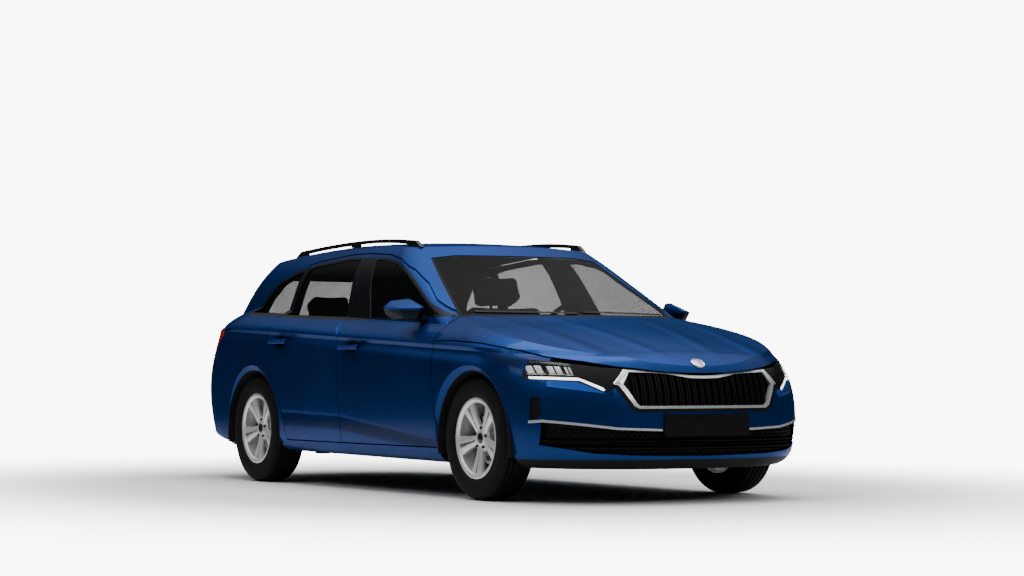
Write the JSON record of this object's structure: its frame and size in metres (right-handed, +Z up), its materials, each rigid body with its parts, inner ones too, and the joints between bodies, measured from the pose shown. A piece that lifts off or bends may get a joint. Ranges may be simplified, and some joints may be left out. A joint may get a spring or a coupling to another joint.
{
  "type": "station wagon",
  "caption": "Station wagon with steerable wheels, opening doors, bonnet and tailgate, glazed cabin, seats, load space and roof rails.",
  "frame": {"origin": "on the ground, midway between nose and tail and on the centre plane", "axes": "+X forward, +Y to the car's left, +Z up"},
  "size_m": [4.6976, 2.008, 1.4504],
  "materials": {
    "body_paint": "metallic gloss",
    "dark_body": "satin",
    "tinted_glass": "gloss",
    "lamp_clear": "gloss",
    "lamp_red": "gloss",
    "bright_trim": "polished",
    "black_plastic": "satin",
    "seat_fabric": "woven",
    "cast_metal": "cast",
    "steel": "satin",
    "alloy": "satin",
    "rubber": "matte"
  },
  "bodies": {
    "body": {"black_trim": "black_plastic", "body_sides": "body_paint", "bright_trim": "bright_trim", "bulkhead": "dark_body", "dashboard": "black_plastic", "engine_block": "cast_metal", "front_bumper": "body_paint", "front_plate": "black_plastic", "front_seats": "seat_fabric", "front_suspension": "steel", "front_wings": "body_paint", "grilles": "black_plastic", "headlamp_housings": "black_plastic", "headlamps": "lamp_clear", "inner_pillars": "dark_body", "load_floor": "seat_fabric", "quarter_windows": "tinted_glass", "rear_axle": "steel", "rear_bench": "seat_fabric", "rear_bumper": "body_paint", "roof_panel": "body_paint", "roof_rails": "black_plastic", "steering_wheel": "black_plastic", "tail_lamps": "lamp_red", "underbody": "dark_body", "wheel_arch_liners": "black_plastic", "windscreen": "tinted_glass"},
    "bonnet": {"bonnet": "body_paint"},
    "tailgate": {"rear_plate": "black_plastic", "tailgate": "body_paint", "tailgate_lamps": "lamp_red", "tailgate_window": "tinted_glass"},
    "door_front_right": {"door_front_right": "body_paint", "mirror_right": "body_paint", "window_front_right": "tinted_glass"},
    "wheel_front_right": {"rim_front_right": "alloy", "tyre_front_right": "rubber"},
    "door_front_left": {"door_front_left": "body_paint", "mirror_left": "body_paint", "window_front_left": "tinted_glass"},
    "wheel_front_left": {"rim_front_left": "alloy", "tyre_front_left": "rubber"},
    "door_rear_right": {"door_rear_right": "body_paint", "window_rear_right": "tinted_glass"},
    "wheel_rear_right": {"rim_rear_right": "alloy", "tyre_rear_right": "rubber"},
    "door_rear_left": {"door_rear_left": "body_paint", "window_rear_left": "tinted_glass"},
    "wheel_rear_left": {"rim_rear_left": "alloy", "tyre_rear_left": "rubber"},
    "knuckle_right": {"knuckle_right": "steel"},
    "knuckle_left": {"knuckle_left": "steel"}
  },
  "joints": [
    {"name": "door_front_right_hinge", "type": "hinge", "parent": "body", "child": "door_front_right", "pos_m": [1.0205, -0.899, 0.6], "axis": [0, 0, 1], "range_deg": [0, 66]},
    {"name": "door_rear_right_hinge", "type": "hinge", "parent": "body", "child": "door_rear_right", "pos_m": [-0.0655, -0.9055, 0.6], "axis": [0, 0, 1], "range_deg": [0, 66]},
    {"name": "steer_right", "type": "hinge", "parent": "body", "child": "knuckle_right", "pos_m": [1.453, -0.7455, 0.326], "axis": [0, 0, 1], "range_deg": [-35, 35]},
    {"name": "wheel_front_right_spin", "type": "hinge", "parent": "knuckle_right", "child": "wheel_front_right", "pos_m": [1.453, -0.7715, 0.326], "axis": [0, 1, 0], "continuous": true},
    {"name": "wheel_rear_right_spin", "type": "hinge", "parent": "body", "child": "wheel_rear_right", "pos_m": [-1.233, -0.7715, 0.326], "axis": [0, 1, 0], "continuous": true},
    {"name": "door_front_left_hinge", "type": "hinge", "parent": "body", "child": "door_front_left", "pos_m": [1.0205, 0.899, 0.6], "axis": [0, 0, -1], "range_deg": [0, 66]},
    {"name": "door_rear_left_hinge", "type": "hinge", "parent": "body", "child": "door_rear_left", "pos_m": [-0.0655, 0.9055, 0.6], "axis": [0, 0, -1], "range_deg": [0, 66]},
    {"name": "steer_left", "type": "hinge", "parent": "body", "child": "knuckle_left", "pos_m": [1.453, 0.7455, 0.326], "axis": [0, 0, 1], "range_deg": [-35, 35]},
    {"name": "wheel_front_left_spin", "type": "hinge", "parent": "knuckle_left", "child": "wheel_front_left", "pos_m": [1.453, 0.7715, 0.326], "axis": [0, 1, 0], "continuous": true},
    {"name": "wheel_rear_left_spin", "type": "hinge", "parent": "body", "child": "wheel_rear_left", "pos_m": [-1.233, 0.7715, 0.326], "axis": [0, 1, 0], "continuous": true},
    {"name": "bonnet_hinge", "type": "hinge", "parent": "body", "child": "bonnet", "pos_m": [1.045, 0, 1], "axis": [0, -1, 0], "range_deg": [0, 55]},
    {"name": "tailgate_hinge", "type": "hinge", "parent": "body", "child": "tailgate", "pos_m": [-1.672, 0, 1.3675], "axis": [0, 1, 0], "range_deg": [0, 80]}
  ],
  "couplings": [
    {"joint": "steer_left", "follows": "steer_right", "ratio": 1}
  ]
}
